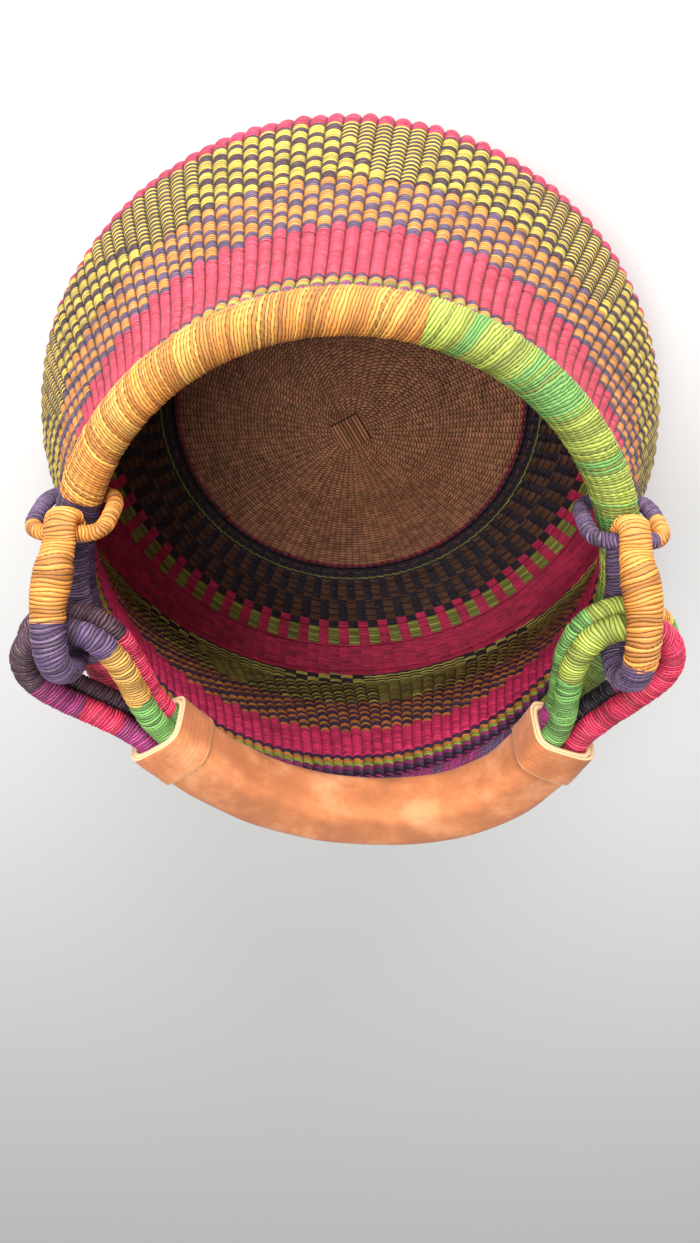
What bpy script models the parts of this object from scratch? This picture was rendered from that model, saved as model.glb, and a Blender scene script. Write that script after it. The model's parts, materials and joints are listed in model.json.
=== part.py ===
"""Bolga basket: a round basket woven from dyed straw, with a wrapped rim hoop,
two hanging links and a double handle bound in leather.

Metres, +Z up, standing on its base, with the origin at the centre of the base's underside.
The handle lies over the -Y side of the rim, as it is put down.
"""
import math

import bmesh
import bpy
from mathutils import Vector

# Base and wall
BASE_RADIUS = 0.127
BASE_THICKNESS = 0.005
BASE_FLAT_RADIUS = 0.096
BASE_DOME = 0.010
START_WIDTH = 0.024
START_THICKNESS = 0.002
BELLY_RADIUS = 0.200
BELLY_HEIGHT = 0.065
WALL_THICKNESS = 0.005
ROW_GAP = 0.0003
SHOULDER_SHARE = 0.08
NECK_HEIGHT_SHARE = 0.61
NECK_IN_SHARE = 0.08

# Rim hoop
MOUTH_RADIUS = 0.150
MOUTH_NARROWING = 0.010
HOOP_HEIGHT = 0.229
HOOP_RADIUS = 0.011
HOOP_WRAP = 0.0016
CLEARANCE = 0.0003
CORE_CLEARANCE = 0.0004

# Rings that pass round the hoop and through the wall
RING_OFFSET = 0.050
RING_STRAND = 0.00375
RING_HALF_WIDTH = 0.0175
RING_SQUARENESS = 4.0
SLOT_CLEARANCE = 0.0005

# Links between the rings and the handle
LINK_REACH = 0.0415
LINK_SPLAY = 0.0036
LINK_HALF_WIDTH = 0.0075
LINK_EYE_PLAY = 0.0006
LINK_RING_STRAND = 0.0042
LINK_BODY_STRAND = 0.0090
LINK_TOP_STRAND = 0.0080
LINK_TIP_STRAND = 0.0060
LINK_UNDER_STRAND = 0.0045
LINK_BEND_RADIUS = 0.0172
LINK_WRAP = 0.0012
LINK_SHIFT_START_SHARE = 0.10
LINK_SHIFT_END_SHARE = 0.70
LINK_SWELL_SHARE = 0.45

# Handle: two wrapped loops, one on the other
ROD_RADIUS = 0.0063
ROD_WRAP = 0.0012
LOOP_RADIUS = 0.0225
HANDLE_DEPTH = 0.141
END_PULL = 0.057
MIDDLE_PULL = 0.090
GRIP_START_SHARE = 0.333

# How the handle's halves differ, as it was bent by hand: the grip's middle lies to the right,
# the left rods turn in more, and the right loop sits farther back in its link
GRIP_SHIFT = 0.020
HANDLE_TURNS = {-1: math.radians(38), 1: math.radians(24)}
RIGHT_LOOP_BACK = 0.008

# Leather grip, its sewn edge and its cuffs
LEATHER = 0.0022
LEATHER_PLAY = 0.0012
LEATHER_SQUARENESS = 4.0
CUFF_THICKNESS = 0.0014
CUFF_LENGTH_SHARE = 0.12
SEAM_LIP = 0.0022
GRIP_TUCK_SHARE = 0.04

# Facet counts
WALL_FACETS = 40
WALL_STEPS = 15
BASE_STEPS = 4
HOOP_FACETS = 48
TUBE_SIDES = 8
CORE_SIDES = 6
RING_STATIONS = 16
LINK_EYE_STATIONS = 6
LINK_RUN_STATIONS = 6
LINK_BEND_STATIONS = 10
LINK_UNDER_STATIONS = 3
LEATHER_SIDES = 12
SEAM_CORNER = 10
GRIP_STATIONS = 16
CUFF_STATIONS = 3
OUTLINE_POINTS = 240
PATH_POINTS = 40
OPEN_STATIONS = 22
HIDDEN_STATIONS = 3
SMOOTH_ANGLE = math.radians(40)

# Dyes
REDDISH_BROWN = (0.36, 0.13, 0.07)
BLACK_PURPLE = (0.05, 0.03, 0.06)
BROWN_ORANGE = (0.40, 0.18, 0.06)
OLIVE = (0.38, 0.40, 0.06)
CRIMSON = (0.62, 0.04, 0.10)
YELLOW = (0.75, 0.58, 0.12)
ORANGE = (0.82, 0.42, 0.10)
PINK = (0.85, 0.14, 0.22)
MAGENTA = (0.45, 0.05, 0.28)
GREEN = (0.42, 0.72, 0.12)
YELLOW_GREEN = (0.62, 0.75, 0.15)
VIOLET = (0.22, 0.16, 0.30)
DARK_PURPLE = (0.10, 0.05, 0.14)
OCHRE = (0.62, 0.38, 0.08)
RED = (0.75, 0.05, 0.12)
STRAW = (0.72, 0.52, 0.24)
TAN = (0.78, 0.42, 0.20)
PALE_TAN = (0.85, 0.62, 0.38)

# Rows of the wall from the base up: name, where they end as a share of the wall's length, dye
WALL_ROW_SHARES = (
    ("edge_rows", 0.060, BLACK_PURPLE),
    ("checked_rows", 0.196, BROWN_ORANGE),
    ("olive_rows", 0.257, OLIVE),
    ("crimson_rows", 0.345, CRIMSON),
    ("yellow_rows", 0.600, YELLOW),
    ("orange_rows", 0.762, ORANGE),
    ("pink_rows", 0.912, PINK),
    ("rim_rows", 1.0, MAGENTA),
)

# Wraps round the hoop: name, start and end as shares of a turn from +X, dye
HOOP_WRAP_SHARES = (
    ("rim_orange_wrap", 0.214, 0.436, ORANGE),
    ("rim_violet_wrap", 0.436, 0.542, VIOLET),
    ("rim_pink_wrap", 0.542, 0.597, PINK),
    ("rim_magenta_wrap", 0.597, 0.883, MAGENTA),
    ("rim_green_wrap", 0.883, 1.214, GREEN),
)

# Wraps round the handle's loops: name, side, layer, start and end as shares of the open
# length, which runs from the leather out along the outer rod and back along the inner rod
HANDLE_WRAP_SHARES = (
    ("upper_left_magenta_wrap", -1, 1, 0.0, 0.12, MAGENTA),
    ("upper_left_red_wrap", -1, 1, 0.12, 0.22, RED),
    ("upper_left_pink_wrap", -1, 1, 0.22, 0.34, MAGENTA),
    ("upper_left_purple_wrap", -1, 1, 0.34, 0.58, DARK_PURPLE),
    ("upper_left_violet_wrap", -1, 1, 0.58, 0.68, VIOLET),
    ("upper_left_ochre_wrap", -1, 1, 0.68, 0.84, OCHRE),
    ("upper_left_green_wrap", -1, 1, 0.84, 1.0, GREEN),
    ("upper_right_red_wrap", 1, 1, 0.0, 0.52, RED),
    ("upper_right_green_wrap", 1, 1, 0.52, 0.76, YELLOW_GREEN),
    ("upper_right_lime_wrap", 1, 1, 0.76, 1.0, GREEN),
    ("lower_left_purple_wrap", -1, -1, 0.0, 0.86, DARK_PURPLE),
    ("lower_left_green_wrap", -1, -1, 0.86, 1.0, GREEN),
    ("lower_right_purple_wrap", 1, -1, 0.0, 0.20, BLACK_PURPLE),
    ("lower_right_green_wrap", 1, -1, 0.20, 0.44, GREEN),
    ("lower_right_orange_wrap", 1, -1, 0.44, 0.62, ORANGE),
    ("lower_right_magenta_wrap", 1, -1, 0.62, 1.0, MAGENTA),
)

# Where a link's orange wrap ends and its violet one starts, as shares of the way round it
LINK_DYE_SHARES = {"left_link": 0.44, "right_link": 0.60}

# Places that follow from the sizes
HOOP_TOP = HOOP_HEIGHT + HOOP_RADIUS
WALL_TOP_HEIGHT = HOOP_HEIGHT - HOOP_RADIUS - CLEARANCE
WALL_TOP_RADIUS = MOUTH_RADIUS + WALL_THICKNESS / 2
MOUTH_HALF_WIDTH = MOUTH_RADIUS - MOUTH_NARROWING
RING_X = MOUTH_HALF_WIDTH * math.sqrt(1 - (RING_OFFSET / MOUTH_RADIUS) ** 2)
EYE_RADIUS = RING_STRAND + LINK_EYE_PLAY
PIVOT_HEIGHT = HOOP_TOP + CLEARANCE + 2 * LINK_RING_STRAND + EYE_RADIUS
RING_BOTTOM = HOOP_HEIGHT - HOOP_RADIUS - CLEARANCE - RING_STRAND
LOOP_X = RING_X + LINK_SPLAY
LOOP_Y = RING_OFFSET - LINK_REACH
LOOP_HEIGHT = HOOP_TOP + CLEARANCE + 2 * LINK_UNDER_STRAND + LINK_BEND_RADIUS
LAYER_OFFSET = ROD_RADIUS + CLEARANCE / 2
GRIP_INNER = LAYER_OFFSET + ROD_RADIUS + LEATHER_PLAY
GRIP_OUTER = GRIP_INNER + LEATHER
CUFF_OUTER = GRIP_OUTER + CLEARANCE + CUFF_THICKNESS
GRIP_HEIGHT = HOOP_HEIGHT + HOOP_RADIUS * math.cos(math.pi / TUBE_SIDES) + CLEARANCE + GRIP_OUTER
HANDLE_DIP = math.asin((LOOP_HEIGHT - GRIP_HEIGHT) / HANDLE_DEPTH)
PIVOTS = {
    "left_link": Vector((-RING_X, RING_OFFSET, PIVOT_HEIGHT)),
    "right_link": Vector((RING_X, RING_OFFSET, PIVOT_HEIGHT)),
    "handle": Vector((0, LOOP_Y, LOOP_HEIGHT)),
}


def clear_scene():
    for item in list(bpy.data.objects):
        bpy.data.objects.remove(item)


def smooth_step(value):
    held = min(max(value, 0.0), 1.0)
    return held * held * (3 - 2 * held)


def make_material(name, colour):
    material = bpy.data.materials.new(name)
    material.use_nodes = True
    shader = material.node_tree.nodes["Principled BSDF"]
    shader.inputs["Base Color"].default_value = (*colour, 1.0)
    shader.inputs["Roughness"].default_value = 0.7
    shader.inputs["Metallic"].default_value = 0.0
    return material


def make_pivots():
    empties = {}
    for name, place in PIVOTS.items():
        empties[name] = bpy.data.objects.new(name + "_pivot", None)
        empties[name].location = place
        bpy.context.collection.objects.link(empties[name])
    return empties


def add_piece(name, bm, colour, pivot=None):
    """Make the object; a moving piece hangs from the empty on its joint's axis."""
    bmesh.ops.recalc_face_normals(bm, faces=bm.faces)
    if pivot:
        bmesh.ops.translate(bm, verts=bm.verts, vec=-pivot.location)
    mesh = bpy.data.meshes.new(name)
    bm.to_mesh(mesh)
    bm.free()
    mesh.shade_smooth()
    mesh.set_sharp_from_angle(angle=SMOOTH_ANGLE)
    mesh.materials.append(make_material(name, colour))
    piece = bpy.data.objects.new(name, mesh)
    piece.parent = pivot
    bpy.context.collection.objects.link(piece)
    return piece


def outer_outline():
    """The wall's outside from the base's edge to under the hoop, as (radius, height)."""
    points = []
    half = OUTLINE_POINTS // 2
    for i in range(half):
        turn = math.radians(90) * i / half
        radius = BASE_RADIUS + (BELLY_RADIUS - BASE_RADIUS) * math.sin(turn)
        points.append(Vector((radius, BELLY_HEIGHT * (1 - math.cos(turn)))))
    rise = WALL_TOP_HEIGHT - BELLY_HEIGHT
    out = BELLY_RADIUS - WALL_TOP_RADIUS
    corners = (
        Vector((BELLY_RADIUS, BELLY_HEIGHT)),
        Vector((BELLY_RADIUS, BELLY_HEIGHT + SHOULDER_SHARE * rise)),
        Vector((WALL_TOP_RADIUS - NECK_IN_SHARE * out, BELLY_HEIGHT + NECK_HEIGHT_SHARE * rise)),
        Vector((WALL_TOP_RADIUS, WALL_TOP_HEIGHT)),
    )
    points += [bezier(corners, i / half) for i in range(half + 1)]
    return points


def bezier(corners, share):
    rest = 1 - share
    a, b, c, d = corners
    return a * rest ** 3 + b * (3 * rest ** 2 * share) + c * (3 * rest * share ** 2) + d * share ** 3


def point_along(path, share):
    """The point at a share of a path's length, and the path's direction there."""
    lengths = [(b - a).length for a, b in zip(path, path[1:])]
    left = share * sum(lengths)
    for i, length in enumerate(lengths):
        if left <= length or i == len(lengths) - 1:
            step = path[i + 1] - path[i]
            return path[i] + step * (left / length), step.normalized()
        left -= length


def points_between(path, start, end, count):
    return [point_along(path, start + (end - start) * i / count)[0] for i in range(count + 1)]


def path_length(path):
    return sum((b - a).length for a, b in zip(path, path[1:]))


def mouth_squeeze(height):
    """How much narrower the basket is along X at a height, drawn in by the handle."""
    climb = smooth_step((height - BELLY_HEIGHT) / (HOOP_HEIGHT - BELLY_HEIGHT))
    return 1 - MOUTH_NARROWING / MOUTH_RADIUS * climb


def revolve(profile):
    """Spin a closed (radius, height) profile round Z, then draw the mouth in."""
    bm = bmesh.new()
    verts = [bm.verts.new((radius, 0, height)) for radius, height in profile]
    edges = [bm.edges.new((verts[i - 1], verts[i])) for i in range(len(verts))]
    bmesh.ops.spin(bm, geom=verts + edges, axis=(0, 0, 1), cent=(0, 0, 0), angle=math.tau,
                   steps=WALL_FACETS, use_merge=True)
    for vert in bm.verts:
        vert.co.x *= mouth_squeeze(vert.co.z)
    return bm


def dome(radius):
    """How far the base is pushed up inside the flat ring that it stands on."""
    share = min(radius / BASE_FLAT_RADIUS, 1.0)
    return BASE_DOME * (1 - share * share) ** 2


def make_base():
    radii = [BASE_FLAT_RADIUS * (i + 1) / BASE_STEPS for i in range(BASE_STEPS)] + [BASE_RADIUS]
    bm = bmesh.new()
    under = [bm.verts.new((radius, 0, dome(radius))) for radius in radii]
    over = [bm.verts.new((radius, 0, dome(radius) + BASE_THICKNESS)) for radius in reversed(radii)]
    profile = [bm.verts.new((0, 0, BASE_DOME))] + under + over
    profile.append(bm.verts.new((0, 0, BASE_DOME + BASE_THICKNESS)))
    edges = [bm.edges.new((a, b)) for a, b in zip(profile, profile[1:])]
    bmesh.ops.spin(bm, geom=profile + edges, axis=(0, 0, 1), cent=(0, 0, 0), angle=math.tau,
                   steps=WALL_FACETS, use_merge=True)
    bmesh.ops.remove_doubles(bm, verts=bm.verts, dist=BASE_THICKNESS / 100)
    add_piece("base_disc", bm, REDDISH_BROWN)


def make_start():
    """The small plaited square that the weaving starts from, on the inside of the base."""
    bm = bmesh.new()
    bmesh.ops.create_cube(bm, size=1.0)
    bmesh.ops.scale(bm, verts=bm.verts, vec=(START_WIDTH, START_WIDTH, START_THICKNESS))
    height = BASE_DOME + BASE_THICKNESS + CLEARANCE + START_THICKNESS / 2
    bmesh.ops.translate(bm, verts=bm.verts, vec=(0, 0, height))
    add_piece("plaited_start", bm, REDDISH_BROWN)


def make_wall_rows():
    outline = outer_outline()
    gap = ROW_GAP / path_length(outline) / 2
    start = 0.0
    for name, end, dye in WALL_ROW_SHARES:
        count = max(1, round((end - start) * WALL_STEPS))
        last = 1.0 if end == 1.0 else end - gap
        first = gap + start
        outer = []
        inner = []
        for i in range(count + 1):
            point, along = point_along(outline, first + (last - first) * i / count)
            outer.append(point)
            inner.append(point + Vector((-along.y, along.x)) * WALL_THICKNESS)
        piece = add_piece(name, revolve(outer + inner[::-1]), dye)
        start = end
    return piece


def section(half, sides, squareness):
    """Points round a tube: a circle at squareness 2, nearly a square at higher values."""
    power = 2 / squareness
    points = []
    for i in range(sides):
        turn = math.tau * (i + 0.5) / sides
        across = math.copysign(abs(math.cos(turn)) ** power, math.cos(turn))
        upward = math.copysign(abs(math.sin(turn)) ** power, math.sin(turn))
        points.append((half * across, half * upward))
    return points


def frames(path, up, closed):
    """At each point of a path: its place, two directions square to the path, and the path's own."""
    found = []
    for i, place in enumerate(path):
        before = path[i - 1] if closed or i > 0 else place
        after = path[(i + 1) % len(path)] if closed or i < len(path) - 1 else place
        along = (after - before).normalized()
        side = along.cross(up).normalized()
        found.append((place, side, side.cross(along), along))
    return found


def stretch(found, first, last):
    """The frames from one to another, with half a gap taken off at each end."""
    part = [found[i % len(found)] for i in range(first, last + 1)]
    for end, sign in ((0, 1), (-1, -1)):
        place, side, rise, along = part[end]
        part[end] = (place + along * sign * ROW_GAP / 2, side, rise, along)
    return part


def sweep(bm, found, halves, sides, squareness=2.0, widths=None):
    """Rings of vertices along a path, each square to it; widths, where given, count across."""
    rings = []
    for (place, side, rise, along), half, width in zip(found, halves, widths or halves):
        points = section(half, sides, squareness)
        spread = rise * (width / half)
        rings.append([bm.verts.new(place + side * x + spread * y) for x, y in points])
    return rings


def skin(bm, rings):
    """Faces between each ring of vertices and the next, and from the last to the first."""
    for i, ring in enumerate(rings):
        other = rings[i - 1]
        for j in range(len(ring)):
            bm.faces.new((ring[j - 1], ring[j], other[j], other[j - 1]))


def closed_rod(path, halves, sides, up, widths=None):
    bm = bmesh.new()
    skin(bm, sweep(bm, frames(path, up, True), halves, sides, widths=widths))
    return bm


def sleeve(found, outer, wall, sides, squareness=2.0, widths=None):
    """An open tube with a wall, such as a wrap of straw round a core."""
    bm = bmesh.new()
    widths = widths or outer
    outside = sweep(bm, found, outer, sides, squareness, widths)
    inner_widths = [width - wall for width in widths]
    inside = sweep(bm, found, [half - wall for half in outer], sides, squareness, inner_widths)
    skin(bm, outside + inside[::-1])
    return bm


def core_half(outer, wall):
    """A core that lies inside the flats of its wrap."""
    return (outer - wall) * math.cos(math.pi / TUBE_SIDES) - CORE_CLEARANCE


def hoop_point(share):
    turn = math.tau * share
    return Vector((MOUTH_HALF_WIDTH * math.cos(turn), MOUTH_RADIUS * math.sin(turn), HOOP_HEIGHT))


def make_hoop():
    up = Vector((0, 0, 1))
    core = [hoop_point(i / HOOP_FACETS) for i in range(HOOP_FACETS)]
    half = core_half(HOOP_RADIUS, HOOP_WRAP)
    add_piece("rim_core", closed_rod(core, [half] * HOOP_FACETS, CORE_SIDES, up), STRAW)
    found = frames(core, up, True)
    for name, start, end, dye in HOOP_WRAP_SHARES:
        part = stretch(found, round(start * HOOP_FACETS), round(end * HOOP_FACETS))
        add_piece(name, sleeve(part, [HOOP_RADIUS] * len(part), HOOP_WRAP, TUBE_SIDES), dye)


def ring_path(side):
    """The ring's centre line, flat against the XZ plane and nearly square."""
    points = []
    half_height = (PIVOT_HEIGHT - RING_BOTTOM) / 2
    centre = Vector((side * RING_X, RING_OFFSET, PIVOT_HEIGHT - half_height))
    power = 2 / RING_SQUARENESS
    for i in range(RING_STATIONS):
        turn = math.tau * i / RING_STATIONS
        across = math.copysign(abs(math.cos(turn)) ** power, math.cos(turn))
        upward = math.copysign(abs(math.sin(turn)) ** power, math.sin(turn))
        points.append(centre + Vector((RING_HALF_WIDTH * across, 0, half_height * upward)))
    return points


def make_rings(top_rows):
    for side, name in ((-1, "left_ring"), (1, "right_ring")):
        path = ring_path(side)
        up = Vector((0, 1, 0))
        add_piece(name, closed_rod(path, [RING_STRAND] * len(path), TUBE_SIDES, up), VIOLET)
        wide = RING_STRAND + SLOT_CLEARANCE
        cutter = add_piece(name + "_slot", closed_rod(path, [wide] * len(path), TUBE_SIDES, up), STRAW)
        cutter.hide_render = True
        cutter.display_type = "WIRE"
        slot = top_rows.modifiers.new(name + "_slot", "BOOLEAN")
        slot.operation = "DIFFERENCE"
        slot.solver = "EXACT"
        slot.object = cutter


def link_strand(share):
    """The upper strand's radius: it swells out of the eye and thins a little to the bend."""
    if share < LINK_SWELL_SHARE:
        return LINK_RING_STRAND + (LINK_BODY_STRAND - LINK_RING_STRAND) * smooth_step(share / LINK_SWELL_SHARE)
    thinned = smooth_step((share - LINK_SWELL_SHARE) / (1 - LINK_SWELL_SHARE))
    return LINK_BODY_STRAND + (LINK_TOP_STRAND - LINK_BODY_STRAND) * thinned


def link_stations(spread):
    """Once round the link from under the ring: share of its length, turn and strand's radius."""
    stations = []
    for i in range(LINK_EYE_STATIONS + 1):
        turn = math.tau - spread + (2 * spread - math.tau) * i / LINK_EYE_STATIONS
        stations.append((0.0, turn, LINK_RING_STRAND))
    for i in range(1, LINK_RUN_STATIONS):
        share = i / LINK_RUN_STATIONS
        stations.append((share, spread, link_strand(share)))
    for i in range(LINK_BEND_STATIONS + 1):
        passed = i / LINK_BEND_STATIONS
        end_strand = LINK_TOP_STRAND if passed < 0.5 else LINK_UNDER_STRAND
        thinned = smooth_step(1 - abs(2 * passed - 1))
        strand = end_strand + (LINK_TIP_STRAND - end_strand) * thinned
        stations.append((1.0, spread - 2 * spread * passed, strand))
    for i in range(1, LINK_UNDER_STATIONS):
        stations.append((1 - i / LINK_UNDER_STATIONS, -spread, LINK_UNDER_STRAND))
    return stations


def link_path(side):
    """The link's centre line with its strand's radius as a fourth value.

    The inside of the link is a belt round two circles, the small eye on the ring and the
    bend that holds the handle's loops. The strand lies against the outside of that belt.
    """
    pivot = PIVOTS["right_link"]
    climb = LOOP_HEIGHT - pivot.z
    reach = math.hypot(LINK_REACH, climb)
    slope = math.atan2(climb, LINK_REACH)
    spread = math.radians(90) + math.asin((LINK_BEND_RADIUS - EYE_RADIUS) / reach)
    points = []
    for share, turn, strand in link_stations(spread):
        belt = EYE_RADIUS + (LINK_BEND_RADIUS - EYE_RADIUS) * share
        forward = reach * share + (belt + strand) * math.cos(turn)
        upward = (belt + strand) * math.sin(turn)
        shift = forward / reach - LINK_SHIFT_START_SHARE
        splay = LINK_SPLAY * smooth_step(shift / (LINK_SHIFT_END_SHARE - LINK_SHIFT_START_SHARE))
        across = side * (pivot.x + splay)
        back = pivot.y - forward * math.cos(slope) + upward * math.sin(slope)
        height = pivot.z + forward * math.sin(slope) + upward * math.cos(slope)
        points.append(Vector((across, back, height, strand)))
    return points


def make_links(pivots):
    up = Vector((1, 0, 0))
    for side, name in ((-1, "left_link"), (1, "right_link")):
        path = link_path(side)
        strands = [point.w for point in path + path[:1]]
        widths = [max(strand, LINK_HALF_WIDTH) for strand in strands]
        core_halves, core_widths = ([core_half(half, LINK_WRAP) for half in part] for part in (strands, widths))
        core = closed_rod([point.xyz for point in path], core_halves, CORE_SIDES, up, core_widths)
        add_piece(name + "_core", core, STRAW, pivots[name])
        found = frames([point.xyz for point in path], up, True)
        change = round(LINK_DYE_SHARES[name] * len(path))
        for wrap, first, last, dye in (("orange", 0, change, ORANGE), ("violet", change, len(path), VIOLET)):
            part = slice(first, last + 1)
            bm = sleeve(stretch(found, first, last), strands[part], LINK_WRAP, TUBE_SIDES, widths=widths[part])
            add_piece(name + "_" + wrap + "_wrap", bm, dye, pivots[name])


def arch_point(share, side):
    """One half of the handle's middle line, from its loop's centre to the middle of the grip.

    X counts outwards from the basket's middle, so both halves read as the right one.
    """
    turn = HANDLE_TURNS[side]
    back = RIGHT_LOOP_BACK if side > 0 else 0
    start = Vector((LOOP_X, LOOP_RADIUS - back))
    pull = Vector((-math.sin(turn), math.cos(turn))) * END_PULL
    middle = Vector((side * GRIP_SHIFT, HANDLE_DEPTH))
    corners = (start, start + pull, middle + Vector((MIDDLE_PULL, 0)), middle)
    step = 1 / PATH_POINTS
    along = (bezier(corners, min(share + step, 1)) - bezier(corners, share - step)).normalized()
    return bezier(corners, share), Vector((along.y, -along.x))


def rod_spread(share):
    """Half the distance between the outer and inner rods: wide at the loop, closed in the grip."""
    closed = LAYER_OFFSET
    return closed + (LOOP_RADIUS - closed) * (1 - smooth_step(share / GRIP_START_SHARE))


def rod_points(first, last, count, side):
    """Places along the outer and the inner rod between two shares of the handle's half."""
    outer = []
    inner = []
    for i in range(count + 1):
        share = first + (last - first) * i / count
        place, outward = arch_point(share, side)
        outer.append(place + outward * rod_spread(share))
        inner.append(place - outward * rod_spread(share))
    return outer, inner


def loop_stations(side):
    """One half of a loop: from the middle along the outer rod, round, and back."""
    open_share = GRIP_START_SHARE + GRIP_TUCK_SHARE
    outer, inner = rod_points(0, open_share, PATH_POINTS, side)
    centre, outward = arch_point(0, side)
    away = Vector((outward.y, -outward.x))
    bend = []
    for i in range(1, PATH_POINTS):
        turn = math.pi * i / PATH_POINTS
        bend.append(centre + (outward * math.cos(turn) + away * math.sin(turn)) * LOOP_RADIUS)
    open_part = points_between(outer[::-1] + bend + inner, 0, 1, OPEN_STATIONS)
    outer, inner = rod_points(open_share, 1, HIDDEN_STATIONS, side)
    return outer[:0:-1] + open_part + inner[1:]


def in_handle(flat, side, lift):
    """Place a point of the handle's own plane in the row's frame."""
    forward = Vector((0, -math.cos(HANDLE_DIP), -math.sin(HANDLE_DIP)))
    normal = Vector((0, -math.sin(HANDLE_DIP), math.cos(HANDLE_DIP)))
    return PIVOTS["handle"] + Vector((side * flat.x, 0, 0)) + forward * flat.y + normal * lift


def make_handle_loops(pivot):
    up = Vector((0, -math.sin(HANDLE_DIP), math.cos(HANDLE_DIP)))
    stations = {side: loop_stations(side) for side in (-1, 1)}
    half = core_half(ROD_RADIUS, ROD_WRAP)
    for layer, name in ((1, "upper_loop_core"), (-1, "lower_loop_core")):
        lift = layer * LAYER_OFFSET
        path = [in_handle(point, 1, lift) for point in stations[1][:-1]]
        path += [in_handle(point, -1, lift) for point in stations[-1][:0:-1]]
        add_piece(name, closed_rod(path, [half] * len(path), CORE_SIDES, up), STRAW, pivot)
    for name, side, layer, start, end, dye in HANDLE_WRAP_SHARES:
        path = [in_handle(point, side, layer * LAYER_OFFSET) for point in stations[side]]
        first = HIDDEN_STATIONS + round(start * OPEN_STATIONS)
        last = HIDDEN_STATIONS + round(end * OPEN_STATIONS)
        part = stretch(frames(path, up, False), first, last)
        add_piece(name, sleeve(part, [ROD_RADIUS] * len(part), ROD_WRAP, TUBE_SIDES), dye, pivot)


def grip_path(start, end, count):
    """Points along the handle's middle line; shares run from -1 at the left to 1 at the right."""
    points = []
    for i in range(count + 1):
        share = start + (end - start) * i / count
        side = 1 if share > 0 else -1
        flat = arch_point(1 - abs(share), side)[0]
        points.append(in_handle(flat, side, 0))
    return points


def make_grip(pivot):
    up = Vector((0, -math.sin(HANDLE_DIP), math.cos(HANDLE_DIP)))
    mouth = 1 - GRIP_START_SHARE
    path = grip_path(-mouth, mouth, GRIP_STATIONS)
    found = frames(path, up, False)
    bm = bmesh.new()
    outside = sweep(bm, found, [GRIP_OUTER] * len(path), LEATHER_SIDES, LEATHER_SQUARENESS)
    inside = sweep(bm, found, [GRIP_INNER] * len(path), LEATHER_SIDES, LEATHER_SQUARENESS)
    covered = math.ceil(CUFF_LENGTH_SHARE / mouth / 2 * GRIP_STATIONS) + 1
    for ring, (place, side, rise, along) in list(zip(outside, found))[covered:-covered]:
        ring[SEAM_CORNER].co += side * SEAM_LIP
    skin(bm, outside + inside[::-1])
    add_piece("leather_grip", bm, TAN, pivot)
    for side, name in ((-1, "left_cuff"), (1, "right_cuff")):
        path = grip_path(side * (mouth - CUFF_LENGTH_SHARE), side * mouth, CUFF_STATIONS)
        found = frames(path, up, False)
        bm = sleeve(found, [CUFF_OUTER] * len(path), CUFF_THICKNESS, LEATHER_SIDES, LEATHER_SQUARENESS)
        add_piece(name, bm, PALE_TAN, pivot)


def main():
    clear_scene()
    pivots = make_pivots()
    make_base()
    make_start()
    top_rows = make_wall_rows()
    make_hoop()
    make_rings(top_rows)
    make_links(pivots)
    make_handle_loops(pivots["handle"])
    make_grip(pivots["handle"])


main()
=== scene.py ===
"""Bolga basket: woven wall, wrapped hoop, rings, links and leather-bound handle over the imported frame.

Metres, +Z up. Each band of the wall is a rolled grid whose columns are the ribs and whose
rows are the twined straws; each wrap is a tube with one ridge for every turn of straw.
"""
import json
import math

import bmesh
import bpy
import numpy as np
from mathutils import Matrix, Vector


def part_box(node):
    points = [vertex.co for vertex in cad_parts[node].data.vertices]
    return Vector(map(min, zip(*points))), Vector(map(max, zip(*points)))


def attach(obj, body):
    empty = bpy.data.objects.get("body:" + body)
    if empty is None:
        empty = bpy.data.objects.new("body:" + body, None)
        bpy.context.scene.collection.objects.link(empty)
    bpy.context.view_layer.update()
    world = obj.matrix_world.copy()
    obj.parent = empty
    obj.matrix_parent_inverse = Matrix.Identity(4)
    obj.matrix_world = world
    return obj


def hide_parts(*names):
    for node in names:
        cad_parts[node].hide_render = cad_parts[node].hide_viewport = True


bl_info = {
    "name": "Bolga Basket",
    "version": (1, 0, 0),
    "blender": (4, 5, 0),
    "location": "View3D > Sidebar > Basket",
    "description": "Weaves a market basket with a rim hoop, links and a leather-bound handle",
    "category": "Add Mesh",
}

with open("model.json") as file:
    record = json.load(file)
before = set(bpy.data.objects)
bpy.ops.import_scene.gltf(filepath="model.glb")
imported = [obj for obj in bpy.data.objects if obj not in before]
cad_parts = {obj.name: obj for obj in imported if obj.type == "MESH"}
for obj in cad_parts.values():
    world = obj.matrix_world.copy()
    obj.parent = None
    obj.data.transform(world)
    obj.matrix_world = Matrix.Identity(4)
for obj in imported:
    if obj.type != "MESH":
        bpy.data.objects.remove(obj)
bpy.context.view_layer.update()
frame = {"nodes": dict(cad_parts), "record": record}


def low(node):
    return Vector(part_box(node)[0])


def high(node):
    return Vector(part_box(node)[1])


def joint_place(name):
    joints = frame["record"]["behaviour"]["joints"]
    return Vector(next(joint["pos_m"] for joint in joints if joint["name"] == name))


# Base and wall, as the solids have them
BASE_RADIUS = high("base_disc").x
BASE_THICKNESS = 0.005
BASE_FLAT_RADIUS = 0.096
BASE_DOME = high("base_disc").z - BASE_THICKNESS
START_WIDTH = high("plaited_start").x - low("plaited_start").x
BELLY_RADIUS = 0.200
BELLY_HEIGHT = 0.065
WALL_THICKNESS = 0.005
MOUTH_RADIUS = 0.150
MOUTH_NARROWING = 0.010
WALL_TOP_RADIUS = MOUTH_RADIUS + WALL_THICKNESS / 2
WALL_TOP_HEIGHT = high("rim_rows").z
SHOULDER_SHARE = 0.08
NECK_HEIGHT_SHARE = 0.61
NECK_IN_SHARE = 0.08
OUTLINE_POINTS = 400

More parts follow.
